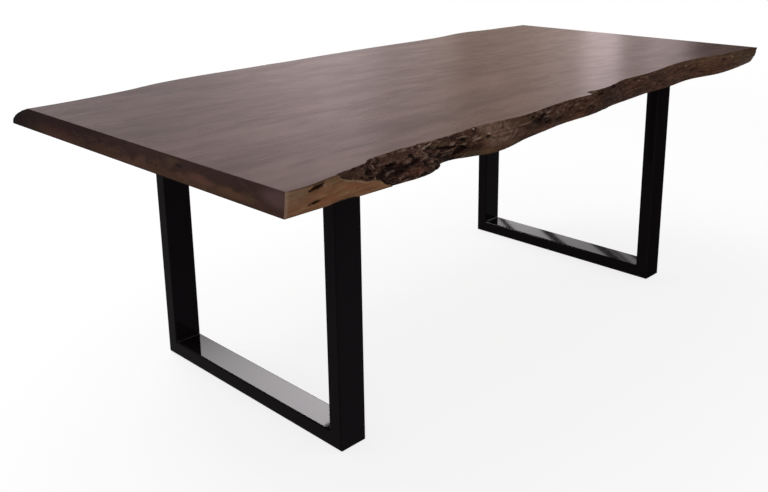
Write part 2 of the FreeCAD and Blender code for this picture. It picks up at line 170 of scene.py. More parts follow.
# Pale strokes and flecks on the front edge, partly pale wood and partly painted glints: the small,
# strongest spots at 231, 577 and 609 mm along are painted highlights
FRONT_PALE_AND_GLINTS = np.array((
    (158, 34.6, 16, 1.6, 0.55, -0.32),
    (190, 25.0, 16, 1.4, 0.45, -0.30),
    (94, 40.5, 3, 4.0, 0.45, 0.00),
    (231, 22.8, 4, 1.8, 0.75, 0.00),
    (271, 22.9, 13, 1.3, 0.45, 0.10),
    (395, 18.1, 5, 2.2, 0.35, 0.00),
    (398, 43.6, 12, 1.2, 0.80, 0.25),
    (414, 45.4, 12, 1.2, 0.90, 0.35),
    (461, 27.0, 19, 1.4, 0.50, -0.05),
    (455, 20.1, 16, 1.2, 0.45, 0.05),
    (520, 43.4, 11, 1.4, 0.45, 0.00),
    (514, 31.4, 12, 1.3, 0.45, 0.05),
    (562, 33.6, 19, 1.4, 0.60, 0.10),
    (556, 37.6, 14, 1.2, 0.40, 0.15),
    (577, 49.3, 4, 1.8, 1.00, 0.00),
    (609, 36.2, 6, 1.5, 1.00, 0.50),
    (735, 36.5, 27, 1.3, 0.45, 0.02),
    (856, 42.8, 17, 1.3, 0.60, -0.02),
    (844, 34.8, 13, 1.3, 0.60, 0.00),
    (889, 28.2, 10, 1.3, 0.45, 0.05),
    (924, 36.0, 12, 1.2, 0.36, 0.12),
    (986, 38.0, 12, 1.2, 0.36, 0.16),
    (1002, 26.9, 6, 1.4, 0.45, 0.00),
    (1104, 49.0, 12, 2.4, 0.45, 0.00),
    (1359, 41.5, 8, 1.6, 0.50, 0.05),
    (1409, 43.4, 9, 1.6, 0.50, 0.00),
    (1670, 40.9, 9, 1.7, 0.50, 0.04),
    (1931, 41.3, 8, 2.2, 0.50, 0.00),
))
FRONT_RUST = np.array((
    (52, 25.0, 13, 11.0, 0.45, 0.00),
    (106, 12.0, 24, 8.0, 0.80, 0.05),
    (166, 22.0, 24, 5.0, 0.90, -0.12),
    (337, 13.8, 28, 5.5, 0.80, 0.02),
    (366, 12.4, 14, 4.0, 0.60, 0.00),
    (498, 19.9, 26, 9.0, 0.50, 0.00),
    (846, 8.0, 18, 4.0, 0.70, 0.05),
    (1000, 13.4, 20, 4.0, 0.80, 0.05),
    (1312, 33.7, 26, 5.0, 0.55, 0.00),
    (1600, 20.0, 40, 6.0, 0.45, 0.02),
))
FRONT_OLIVE = np.array((
    (112, 43.0, 22, 6.0, 0.60, 0.00),
    (30, 44.0, 26, 6.0, 0.50, 0.00),
    (170, 38.0, 36, 9.0, 0.16, -0.12),
    (441, 42.9, 27, 5.5, 0.80, 0.02),
    (670, 7.0, 16, 5.5, 0.60, 0.00),
    (550, 7.2, 54, 6.5, 0.75, 0.00),
    (735, 45.0, 60, 5.0, 0.40, 0.00),
    # A lighter spot in the notch's recess, where light falls in: painted light
    (1096, 45.0, 16, 5.5, 0.85, 0.00),
    (1860, 46.0, 190, 5.0, 0.55, 0.00),
    (2010, 32.0, 80, 14.0, 0.45, 0.00),
))
# Smooth mauve-brown shelves in the bark
FRONT_SHELVES = np.array((
    (152, 46.5, 15, 5.0, 0.90, 0.00),
    (186, 40.0, 26, 7.0, 0.65, -0.05),
    (316, 44.0, 52, 6.0, 0.90, -0.02),
))
BACK_HOLLOWS = np.array((
    (180, 30, 20, 4.0, 5, 0.05),
    (420, 22, 14, 3.5, 5, -0.10),
    (655, 34, 24, 4.0, 6, 0.04),
    (905, 20, 16, 3.4, 5, 0.10),
    (1160, 30, 22, 4.0, 6, 0.00),
    (1480, 26, 14, 3.6, 5, 0.12),
    (1700, 34, 24, 3.8, 6, -0.04),
    (1930, 22, 16, 3.4, 5, 0.06),
))
BACK_PALE = np.array((
    (300, 24, 22, 1.4, 0.50, 0.04),
    (560, 40, 18, 1.4, 0.45, 0.00),
    (980, 34, 26, 1.4, 0.50, -0.03),
    (1330, 20, 20, 1.4, 0.45, 0.05),
    (1820, 38, 22, 1.4, 0.50, 0.00),
))
BACK_RUST = np.array((
    (500, 14, 60, 7, 0.35, 0.00),
    (1060, 12, 90, 7, 0.30, 0.02),
    (1620, 16, 80, 8, 0.35, 0.00),
))

# The lower limit of the front edge's bark: millimetres along, share of the height
BARK_LIMIT = np.array((
    (0, 1.50), (118, 1.14), (128, 1.02), (135, 0.93), (141, 0.83), (150, 0.75), (163, 0.67),
    (183, 0.55), (205, 0.42), (228, 0.36), (243, 0.27), (250, 0.15), (262, 0.07), (276, -0.06),
    (300, -0.25), (2100, -0.40),
))
# Steps and a notch in the front edge's top: millimetres along, millimetres inwards
TOP_STEPS = np.array((
    (0, 0), (218, 0), (226, 3), (236, 9), (246, 9), (258, 7.5), (272, 5.5), (302, 0), (368, 0),
    (379, -2.5), (388, 2.5), (402, 1.5), (424, 0), (1015, 0), (1050, -4), (1064, -4), (1069, 8),
    (1075, 22), (1096, 21), (1110, 15), (1134, 11), (1170, 6), (1240, 0), (2100, 0),
))
# Steps in the front edge's underside: millimetres along, millimetres inwards
LOWER_STEPS = np.array((
    (0, 0), (396, 0), (421, -5), (433, -1), (445, 0.5), (474, -1), (503, 0.5), (516, -1), (540, 0.5),
    (556, 0), (1120, 0), (1146, -1.4), (1166, 0.8), (1205, 0), (2100, 0),
))
# How much lighter the front edge is than its pattern gives: millimetres along, share of the tone
EDGE_TONES = np.array((
    (0, 0), (240, 0), (270, 0.07), (330, 0.07), (375, 0), (425, 0.03), (475, 0.06), (525, -0.04),
    (580, 0), (640, 0), (690, -0.17), (750, -0.09), (810, 0), (880, 0), (960, 0.10), (1040, 0.09),
    (1100, 0), (1170, -0.16), (1280, -0.15), (1380, -0.07), (1520, -0.10), (1640, -0.01),
    (1780, 0.10), (1880, 0.10), (1960, -0.02), (2100, -0.04),
))
# Stretches of the front edge, in millimetres along: the first two places ease it in, the last two out
PITTED_BARK = (740, 790, 1010, 1070)
CHIPPED_BARK = (1010, 1050, 1130, 1230)
BURL = (565, 612, 680, 740)
WORN_LIP = (58, 66, 92.5, 93.5)
# Where the rough bark, the pale corner and the bleached wood end, and where the long fibres begin
ROUGH_BARK_END = (490, 610)
PALE_CORNER_END = (2, 10)
BLEACHED_END = (30, 70)
FIBRE_START = (620, 760)
# The burl's middle, along and up, and how many times longer than high it is
BURL_ALONG = 640
BURL_UP = 37
BURL_LENGTHENED = 1.9
# Heights between which the relief of both live edges is full, given in the same way
FULL_RELIEF = (0, 5, 46, 51.5)
# Values that a live edge's mesh carries for its finish
MASKS = ("sawn", "rough", "burl", "hollow", "crest", "strand", "swirl", "flake", "pale", "rust", "olive",
         "stain")


def smooth_step(low, high, value):
    """0 below low, 1 above high, and between them three squares less two cubes of the share."""
    share = np.clip((value - low) / (high - low), 0, 1)
    return share * share * (3 - 2 * share)


def stretch(value, limits):
    """0 outside four limits and 1 between the inner two, with a smooth step on each side."""
    return smooth_step(limits[0], limits[1], value) * (1 - smooth_step(limits[2], limits[3], value))


def read_off(table, along):
    """The values in a table's second column, joined by straight lines between the places in its first."""
    return np.interp(along, table[:, 0], table[:, 1])


def smooth_curve(knots, values, at):
    """The natural cubic spline through the knots: its slope and bend are continuous, its end bends nil."""
    gap = np.diff(knots)
    rise = np.diff(values) / gap
    inner = np.arange(1, len(knots) - 1)
    system = np.eye(len(knots))
    system[inner, inner - 1] = gap[:-1]
    system[inner, inner] = 2 * (gap[:-1] + gap[1:])
    system[inner, inner + 1] = gap[1:]
    wanted = np.zeros(len(knots))
    wanted[1:-1] = 6 * np.diff(rise)
    bend = np.linalg.solve(system, wanted)
    cell = np.clip(np.searchsorted(knots, at) - 1, 0, len(gap) - 1)
    width = gap[cell]
    before = (knots[cell + 1] - at) / width
    after = 1 - before
    line = before * values[cell] + after * values[cell + 1]
    curve = (before ** 3 - before) * bend[cell] + (after ** 3 - after) * bend[cell + 1]
    return line + curve * width ** 2 / 6


def lattice_noise(across, up, seed):
    """Random values on a square lattice, eased between its points with three squares less two cubes."""
    cells = 128
    table = np.random.default_rng(seed).random((cells, cells))
    column = np.floor(across).astype(int)
    row = np.floor(up).astype(int)
    left = column % cells
    right = (column + 1) % cells
    below = row % cells
    above = (row + 1) % cells
    share = smooth_step(0, 1, across - column)
    rise = smooth_step(0, 1, up - row)
    low = table[left, below] * (1 - share) + table[right, below] * share
    high = table[left, above] * (1 - share) + table[right, above] * share
    return low * (1 - rise) + high * rise


def layered_noise(across, up, seed, layers=3):
    """Lattice noises of doubled fineness and halved strength, added and brought back to 0..1."""
    total = 0
    for layer in range(layers):
        total = total + lattice_noise(across * 2 ** layer, up * 2 ** layer, seed + layer) / 2 ** layer
    return total / (2 - 2 ** (1 - layers))


def creases(across, up, seed):
    """1 along the lines where a layered noise is one half, falling with the fourth power beside them."""
    return (1 - np.abs(2 * layered_noise(across, up, seed, 2) - 1)) ** 4


def ledges(across, up, seed, count):
    """A layered noise cut into this many flat steps with steep eased risers, from 0 to 1."""
    level = layered_noise(across, up, seed) * count
    tread = np.floor(level)
    return (tread + smooth_step(0.55, 1, level - tread)) / count


def spots(along, height, places, soft=0.35):
    """The strongest of all spots at each point. Each is an ellipse about its place with a tilted axis and a
    rim that wanders slightly, level inside and eased over the soft share of its size."""
    strongest = np.zeros_like(along)
    wobble = 0.9 * (layered_noise(along / 7, height / 3.5, 71) - 0.5)
    for middle, up, half_length, half_height, strength, tilt in places:
        forward = (along - middle) / half_length
        over = (height - up - tilt * (along - middle)) / half_height
        distance = np.sqrt(forward ** 2 + over ** 2) + wobble
        share = 1 - smooth_step(1 - soft, 1 + soft, distance)
        strongest = np.maximum(strongest, strength * share)
    return strongest


def arris_fade(height):
    """The strength of the relief: a quarter at both arrises, and full over most of the height."""
    return 0.25 + 0.75 * stretch(height, FULL_RELIEF)


def strand_tone(strands, threads, nicks):
    """The tone of long fibres: strands and finer threads, darkened by nicks."""
    return 0.60 * strands + 0.40 * threads - 0.35 * nicks + 0.10


def front_relief(along, height):
    """Depth of the front edge's surface, in millimetres, and the masks that its finish reads.

    Bark lies above its limit as eased ledges with cracks between them and thin flakes on them, all drawn
    on warped coordinates. The burl has rings round a centre and slanting strokes, and the rest has long
    fibres that rise slightly. Hollows and the steps of both arrises are added to them."""
    share = height / (THICKNESS * 1000)
    ragged = 0.10 * (layered_noise(along / 16, height / 9, 5) - 0.5)
    inside = share - read_off(BARK_LIMIT, along) + ragged
    bark = smooth_step(-0.03, 0.03, inside)
    rim = smooth_step(-0.11, -0.05, inside) * (1 - bark)
    pitted = stretch(along, PITTED_BARK) * smooth_step(6, 20, height)
    pitted = pitted * (1 - 0.35 * smooth_step(850, 930, along))
    rough = bark * (1 - smooth_step(*ROUGH_BARK_END, along))
    rough = rough + 0.7 * pitted + 0.45 * stretch(along, CHIPPED_BARK)
    burl = stretch(along, BURL) * smooth_step(4, 20, height)
    fibre = bark * smooth_step(*FIBRE_START, along)
    bend_along = 12 * (layered_noise(along / 34, height / 16, 11) - 0.5)
    bend_up = 8 * (layered_noise(along / 26, height / 14, 15) - 0.5)
    drawn_along = along + bend_along
    drawn_up = height + bend_up - 0.10 * along
    lumps = layered_noise(along / 46, height / 20, 21)
    plates = ledges(drawn_along / 27, drawn_up / 8.5, 31, 5)
    cracks = creases(drawn_along / 24, drawn_up / 7, 41)
    flakes = creases(drawn_along / 13, drawn_up / 3.0, 45)
    crumbs = layered_noise(drawn_along / 6, drawn_up / 3.0, 47, 2)
    grit = layered_noise(along / 4, height / 2.6, 51, 2)
    shelf = spots(along, height, FRONT_SHELVES, 0.5)
    fine = 5.5 * (0.5 - plates) + 3.6 * cracks - 1.8 * flakes + 3.0 * (crumbs - 0.5) + 1.2 * (grit - 0.5)
    fine = fine * (1 - 0.8 * shelf)
    burl_along = (along - BURL_ALONG + bend_along) / BURL_LENGTHENED
    burl_up = height - BURL_UP + bend_up
    from_burl = np.hypot(burl_along, burl_up) + 16 * (lumps - 0.5) + 9 * (plates - 0.5)
    round_burl = np.abs(np.arctan2(burl_up, burl_along))
    swirl = layered_noise(from_burl / 3.4, round_burl / 0.30 + from_burl / 9, 75)
    across_stroke = (height - 0.42 * along + 1.4 * bend_up) / 2.6
    strokes = layered_noise(across_stroke, (along + 0.42 * height + 2 * bend_along) / 17, 79)
    swirl = swirl + (strokes - swirl) * (0.30 + 0.50 * smooth_step(635, 665, along))
    rising = height - 0.03 * along + bend_up * 0.4
    strands = layered_noise(along / 48, rising / 3.0, 61)
    threads = layered_noise(along / 20, rising / 1.4, 65, 2)
    nicks = creases(drawn_along / 34, rising / 4.2, 67)
    fade = arris_fade(height)
    depth = rough * (5.5 * (lumps - 0.4) + fine) * fade + bark * (1 - fibre) * 2.0
    depth += burl * (3.0 * (lumps - 0.4) + 2.6 * (swirl - 0.5) + 1.2 * nicks) * fade
    grain = 3.4 * (lumps - 0.4) + 2.2 * (strands - 0.5) + 1.1 * (threads - 0.5) + 1.8 * nicks
    depth += fibre * grain * fade
    depth += (1 - bark) * 0.6 * (lumps - 0.4) - 0.7 * rim
    depth += smooth_step(0.35, 0.90, share) * read_off(TOP_STEPS, along)
    depth += (1 - smooth_step(0.05, 0.60, share)) * read_off(LOWER_STEPS, along)
    torn_along = along + 0.5 * bend_along * bark
    torn_up = height + 0.45 * bend_up * bark
    cut = spots(torn_along, torn_up, FRONT_HOLLOWS)
    pale = spots(torn_along, torn_up, FRONT_PALE_AND_GLINTS) * smooth_step(0.15, 0.55, crumbs + 0.25 * flakes)
    depth += cut - 0.8 * pale
    corner = 1 - smooth_step(*PALE_CORNER_END, along)
    lines = smooth_step(48.6, 50.6, height) + 1 - smooth_step(0.6, 2.4, height)
    lip = stretch(along, WORN_LIP) * smooth_step(44, 47, height)
    bleached = 0.16 * (1 - smooth_step(*BLEACHED_END, along)) * smooth_step(14, 28, height)
    flaking = smooth_step(0.36, 0.60, lumps)
    lighter = read_off(EDGE_TONES, along)
    # The bark's tone: high on crests and low in recesses, which the finish paints dark as painted shade
    crest = np.clip(0.50 - fine / 9 + lighter + 0.17 * smooth_step(24, 42, height), 0, 1)
    masks = {
        "sawn": 1 - bark,
        "rough": np.clip(rough, 0, 1),
        "burl": burl,
        # Hollows, which the finish paints near black as painted shade
        "hollow": np.clip(cut / 5, 0, 1),
        "crest": crest * (1 - shelf) + 0.64 * shelf,
        "strand": np.clip(strand_tone(strands, threads, nicks) + lighter, 0, 1),
        "swirl": np.clip(swirl + lighter, 0, 1),
        "flake": smooth_step(0.40, 0.80, flakes) * np.clip(rough, 0, 1) * (1 - shelf) * flaking,
        # Pale wood, and painted glints where the pale spots are strongest
        "pale": np.clip(pale + (0.40 * corner + bleached) * (1 - bark) + 0.06 * rim, 0, 1),
        "rust": spots(along, height, FRONT_RUST, 0.6),
        "olive": np.clip(spots(along, height, FRONT_OLIVE, 0.6) + 0.2 * rim, 0, 1),
        "stain": np.clip((1 - bark) * (lines + 0.8 * lip), 0, 1),
    }
    return depth, masks


def back_relief(along, height):
    """Depth of the back edge's surface, in millimetres, and those of its masks that aren't nil: a waney
    slope with long ripples, islands of flaking bark left on it and a few hollows."""
    bend_along = 12 * (layered_noise(along / 60, height / 24, 111) - 0.5)
    bend_up = 8 * (layered_noise(along / 50, height / 20, 115) - 0.5)
    drawn_along = along + bend_along
    drawn_up = height + bend_up
    lumps = layered_noise(along / 90, height / 24, 121)
    islands = smooth_step(0.52, 0.62, layered_noise(along / 120, height / 26, 125))
    plates = ledges(drawn_along / 30, drawn_up / 8.5, 131, 5)
    cracks = creases(drawn_along / 30, drawn_up / 7, 141)
    grit = layered_noise(along / 5, height / 2.8, 151, 2)
    strands = layered_noise(along / 60, drawn_up / 3.2, 161)
    threads = layered_noise(along / 26, drawn_up / 1.4, 165, 2)
    nicks = creases(drawn_along / 40, drawn_up / 4.2, 167)
    flakes = creases(drawn_along / 14, drawn_up / 3.2, 145)
    fine = 5.0 * (0.5 - plates) + 3.2 * cracks - 1.6 * flakes + 1.2 * (grit - 0.5)
    fade = arris_fade(height)
    depth = 3.5 * (lumps - 0.2) + (1.8 * (strands - 0.4) + 1.0 * (threads - 0.4) + 1.6 * nicks) * fade
    depth += 2.0 * (1 - islands) + islands * (fine + 1.6) * fade
    cut = spots(along, height, BACK_HOLLOWS)
    pale = spots(along, height, BACK_PALE)
    depth += cut - 0.8 * pale
    masks = {
        "rough": islands,
        # Hollows, which the finish paints near black as painted shade
        "hollow": np.clip(cut / 5, 0, 1),
        # High on crests and low in recesses, which the finish paints dark as painted shade
        "crest": np.clip(0.52 - fine / 9, 0, 1),
        "strand": np.clip(strand_tone(strands, threads, nicks), 0, 1),
        "flake": smooth_step(0.45, 0.85, flakes) * islands,
        "pale": pale,
        "rust": spots(along, height, BACK_RUST, 0.6),
        "stain": smooth_step(49.0, 51.0, height),
    }
    return depth, masks


def eased_places(middle, fine):
    """Places from end to end, with four more before the first and after the last within an arris."""
    steps = np.array((0, 0.08, 0.3, 0.62)) * fine
    return np.concatenate((middle[0] - fine + steps, middle, middle[-1] + fine - steps[::-1]))


def arris_drop(distance, radius):
    """How far a quarter-round arris of this radius lies behind the corner's face, at a distance from it."""
    gap = radius - np.clip(distance, 0, radius)
    return radius - np.sqrt(np.maximum(radius ** 2 - gap ** 2, 0))


def put_in_mesh(name, points, faces, smooth_degrees=None):
    """A mesh object at the origin, smooth where its faces meet at less than an angle, if one is given."""
    mesh = bpy.data.meshes.new(name)
    mesh.from_pydata(points.reshape(-1, 3).tolist(), [], faces)
    mesh.update()
    piece = bpy.data.objects.new(name, mesh)
    bpy.context.scene.collection.objects.link(piece)
    if smooth_degrees is not None:
        mesh.shade_smooth()
        mesh.set_sharp_from_angle(angle=math.radians(smooth_degrees))
    return piece


def turn_outwards(piece):
    """Turns the faces of a closed piece outwards."""
    shell = bmesh.new()
    shell.from_mesh(piece.data)
    bmesh.ops.recalc_face_normals(shell, faces=shell.faces)
    shell.to_mesh(piece.data)
    shell.free()


def ring_faces(rings, around):
    """The four-cornered faces between rings of points, each ring closed on itself."""
    ring, step = np.meshgrid(np.arange(rings - 1), np.arange(around), indexing="ij")
    following = (step + 1) % around
    corners = (ring * around + step, ring * around + following,
               (ring + 1) * around + following, (ring + 1) * around + step)
    return np.stack(corners, axis=-1).reshape(-1, 4)


def live_edge_board(name, side, glue_line, reach, shares, relief, stations, rows):
    """A board with one live edge, as closed sections along X.

    The edge at a height is a spline along X for each of three levels and a parabola through them. Its
    arrises are quarter rounds. The relief moves the face inwards, or outwards where it is below zero.
    The section runs up the live face, over the top to the glue line, down it, and back under the board."""
    places = eased_places(stations, END_ARRIS)
    heights = eased_places(np.linspace(EDGE_ARRIS, THICKNESS - EDGE_ARRIS, rows), EDGE_ARRIS)
    x, height = np.meshgrid(places, heights, indexing="ij")
    length_share = (places + HALF_LENGTH) / (2 * HALF_LENGTH)
    low, middle, high = (smooth_curve(shares[:, 0], shares[:, column], length_share)[:, None]
                         for column in (1, 2, 3))
    up = height / THICKNESS
    inward = low * (1 - up) * (1 - 2 * up) + middle * 4 * up * (1 - up) + high * up * (2 * up - 1)
    depth, masks = relief((x + HALF_LENGTH) * 1000, height * 1000)
    lower_arris = arris_drop(height, EDGE_ARRIS)
    upper_arris = arris_drop(THICKNESS - height, EDGE_ARRIS)
    arris = lower_arris + upper_arris
    end_drop = arris_drop(HALF_LENGTH - np.abs(places), END_ARRIS)[:, None]
    face_y = side * (HALF_WIDTH - WANDER * inward - depth / 1000 - arris - end_drop)
    face_y = np.clip(face_y, min(0, reach), max(0, reach))
    tuck = (lower_arris - upper_arris) / EDGE_ARRIS
    face_z = UNDERSIDE + height + end_drop * tuck
    ways_over = np.array((0.012, 0.10, 0.35, 0.70, 1))
    over_y = face_y[:, -1:] + (glue_line - face_y[:, -1:]) * ways_over
    under_y = face_y[:, :1] + (glue_line - face_y[:, :1]) * ways_over[::-1]
    over_z = np.full_like(over_y, TOP) - end_drop
    under_z = np.full_like(under_y, UNDERSIDE) + end_drop
    y = np.concatenate((face_y, over_y, under_y), axis=1)
    z = np.concatenate((face_z, over_z, under_z), axis=1)
    points = np.stack((np.broadcast_to(places[:, None], y.shape), y, z), axis=-1)
    around = y.shape[1]
    count = len(places)
    faces = ring_faces(count, around).tolist()
    first_cap = list(range(around))
    last_cap = list(range((count - 1) * around, count * around))
    board = put_in_mesh(name, points, faces + [first_cap, last_cap], smooth_degrees=65)
    turn_outwards(board)
    slots = np.ones((count - 1, around), dtype=np.int32)
    slots[:, :len(heights) - 1] = 0
    slots = np.append(slots, (1, 1)).astype(np.int32)
    board.data.polygons.foreach_set("material_index", slots)
    for mask in MASKS:
        spread = np.zeros((count, around), dtype=np.float32)
        spread[:, :len(heights)] = masks.get(mask, 0)
        attribute = board.data.attributes.new(mask, "FLOAT", "POINT")
        attribute.data.foreach_set("value", spread.reshape(-1))
    return board


def weld_bead(name, lines):
    """Fillet welds as one mesh. Each bead runs along a line in the corner of two directions: its skin is
    a quarter round bulging out of the corner, cut by ripples that bow towards the bead's start."""
    runs = 96
    rows = 12
    leg = 0.005
    pitch = 0.0032
    taper = 0.004
    meshes = []
    faces = []
    share, turn = np.meshgrid(np.linspace(0, 1, runs), np.linspace(0, math.pi / 2, rows), indexing="ij")
    for line in lines:
        start, end, first, second = np.array(line, dtype=float)
        length = np.linalg.norm(end - start)
        bow = np.sin(turn * 2) * 0.45
        ripple = 0.5 + 0.5 * np.cos(2 * math.pi * (share * length / pitch + bow))
        ends = np.sqrt(np.clip(np.minimum(share, 1 - share) * length / taper, 0, 1))
        size = leg * (0.80 + 0.10 * ripple + 0.06 * np.sin(share * 23)) * (0.3 + 0.7 * ends)
        bulge = size * (1 - 0.20 * np.sin(turn * 2))
        skin = (start + share[..., None] * (end - start)
                + (bulge * np.cos(turn))[..., None] * first + (bulge * np.sin(turn))[..., None] * second)
        root = (start + share[:, :1, None] * (end - start)).reshape(runs, 1, 3)
        section = np.concatenate((skin, root), axis=1)
        offset = sum(len(mesh) for mesh in meshes)
        around = rows + 1
        faces += (ring_faces(runs, around) + offset).tolist()
        faces.append((np.arange(around) + offset).tolist())
        faces.append((np.arange(around) + offset + (runs - 1) * around).tolist())
        meshes.append(section.reshape(-1, 3))
    beads = put_in_mesh(name, np.concatenate(meshes), faces, smooth_degrees=60)
    turn_outwards(beads)
    return beads


class Wire:
    """One value in a node tree. Plain arithmetic on it adds Math nodes."""

    def __init__(self, nodes, socket):
        self.nodes = nodes
        self.socket = socket

    def __add__(self, other):
        return self.nodes.maths("ADD", self, other)

    __radd__ = __add__

    def __sub__(self, other):
        return self.nodes.maths("SUBTRACT", self, other)

    def __rsub__(self, other):
        return self.nodes.maths("SUBTRACT", other, self)

    def __mul__(self, other):
        return self.nodes.maths("MULTIPLY", self, other)

    __rmul__ = __mul__

    def __truediv__(self, other):
        return self.nodes.maths("DIVIDE", self, other)

    def __pow__(self, other):
        return self.nodes.maths("POWER", self, other)


class Nodes:
    """A node tree under construction, with the one method that adds any node."""

    def __init__(self, tree):
        self.tree = tree

    def node(self, kind, settings=None, sockets=None, output=0):
        """Adds a node of this type: its settings first, then its sockets' values or links."""
        node = self.tree.nodes.new("ShaderNode" + kind)
        for setting, value in (settings or {}).items():
            if setting == "stops":
                self.set_stops(node.color_ramp, value)
            else:
                setattr(node, setting, value)
        for socket, value in (sockets or {}).items():
            self.feed(node.inputs[socket], value)
        return Wire(self, node.outputs[output])

    def set_stops(self, ramp, stops):
        """Gives a colour ramp these stops, each a position and a colour."""
        while len(ramp.elements) < len(stops):
            ramp.elements.new(1)
        for element, (position, colour) in zip(ramp.elements, stops):
            element.position = position
            element.color = colour

    def feed(self, socket, value):
        """Links a wire to a socket, or sets the socket's own value."""
        if isinstance(value, Wire):
            self.tree.links.new(value.socket, socket)
        else:
            socket.default_value = value

    def maths(self, operation, *values):
        """A Math node on wires or plain numbers."""
        return self.node("Math", {"operation": operation}, dict(enumerate(values)))

    def seen(self):
        """1 for camera, glossy and transmission rays, and 0 for any other."""
        camera, gloss, clear = (self.node("LightPath", output="Is " + ray + " Ray")
                                for ray in ("Camera", "Glossy", "Transmission"))
        return self.maths("MAXIMUM", self.maths("MAXIMUM", camera, gloss), clear)


class Finish(Nodes):
    """A material under construction, with its shader and its object coordinates."""

    def __init__(self, name):
        self.material = bpy.data.materials.new(name)
        self.material.use_nodes = True
        super().__init__(self.material.node_tree)
        self.shader = self.tree.nodes["Principled BSDF"]
        self.place = self.node("TexCoord", output="Object")

    def step(self, low, high, value):
        """0 below low, 1 above high, eased between."""
        sockets = {"Value": value, "From Min": low, "From Max": high}
        return self.node("MapRange", {"interpolation_type": "SMOOTHSTEP"}, sockets)

    def spot(self, across, up, place, halves):
        """1 in the middle of an ellipse about a place, eased to 0 at its rim."""
        forward = (across - place[0]) / halves[0]
        over = (up - place[1]) / halves[1]
        return 1 - self.step(0.3, 1.0, (forward * forward + over * over) ** 0.5)

    def mask(self, name):
        """A value that the piece's mesh carries at its points."""
        return self.node("Attribute", {"attribute_name": name}, output="Fac")

    def axes(self):
        """The X, Y and Z of the object coordinates."""
        return [self.node("SeparateXYZ", None, {0: self.place}, output) for output in (0, 1, 2)]

    def noise(self, rates, detail, seed, warp=0.0):
        """Noise that changes this many times a metre along each axis, moved to a place of its own."""
        shift = (seed * 3.7, seed * 5.3, seed * 7.1)
        place = self.node("Mapping", None, {"Vector": self.place, "Location": shift, "Scale": rates})
        sockets = {"Vector": place, "Scale": 1.0, "Detail": detail, "Roughness": 0.55, "Distortion": warp}
        return self.node("TexNoise", None, sockets)

    def blend(self, share, first, second):
        """Mixes two colours, from the first at 0 to the second at 1."""
        return self.node("Mix", {"data_type": "RGBA"}, {0: share, 6: first, 7: second}, 2)

    def coats(self, colour, *layers):
        """Lays colours over one another, each in its share."""
        for share, over in layers:
            colour = self.blend(share, colour, over)
        return colour

    def relief(self, height, distance, strength):
        """A Bump node: the height in shares of the distance."""
        return self.node("Bump", None, {"Strength": strength, "Distance": distance, "Height": height})

    def set(self, **sockets):
        """Feeds the shader's sockets, named with underscores for spaces."""
        for socket, value in sockets.items():
            self.feed(self.shader.inputs[socket.replace("_", " ")], value)

    def show(self, shader):
        """Shows another shader in place of the principled one."""
        self.feed(self.tree.nodes["Material Output"].inputs["Surface"], shader)


def paint(red, green, blue):
    """A colour given as it looks on a screen, from 0 to 255, as linear light."""
    return tuple(((value / 255 + 0.055) / 1.055) ** 2.4 for value in (red, green, blue)) + (1.0,)


# The stain's colours: a greyer, lighter mauve-brown than the dark brown wood, with part of the top's sheen
# painted into them as painted sheen
STAIN_AND_SHEEN_DARK = paint(66, 47, 42)
STAIN_AND_SHEEN = paint(92, 69, 63)
STAIN_AND_SHEEN_LIGHT = paint(116, 91, 83)
# The end grain's colours, darker than the wood's own: partly painted shade
END_DARK = paint(60, 41, 37)
END_LIGHT = paint(79, 57, 43)
# Marks on the sawn left end: Y and Z in metres, half sizes, strength, colour. The last is a painted sheen
# beside the front corner.
END_MARKS = (
    (0.290, 0.732, 0.120, 0.014, 0.40, paint(62, 34, 32)),
    (-0.205, 0.748, 0.045, 0.012, 0.36, paint(96, 74, 54)),
    (-0.232, 0.744, 0.024, 0.007, 0.85, paint(34, 23, 20)),
    (-0.300, 0.730, 0.060, 0.014, 0.60, paint(98, 66, 56)),
    (-0.400, 0.724, 0.060, 0.012, 0.50, paint(106, 74, 58)),
    (-0.455, 0.722, 0.034, 0.010, 0.50, paint(86, 68, 48)),
    # A painted sheen beside the front corner
    (-0.545, 0.742, 0.080, 0.026, 0.75, paint(92, 70, 68)),
)


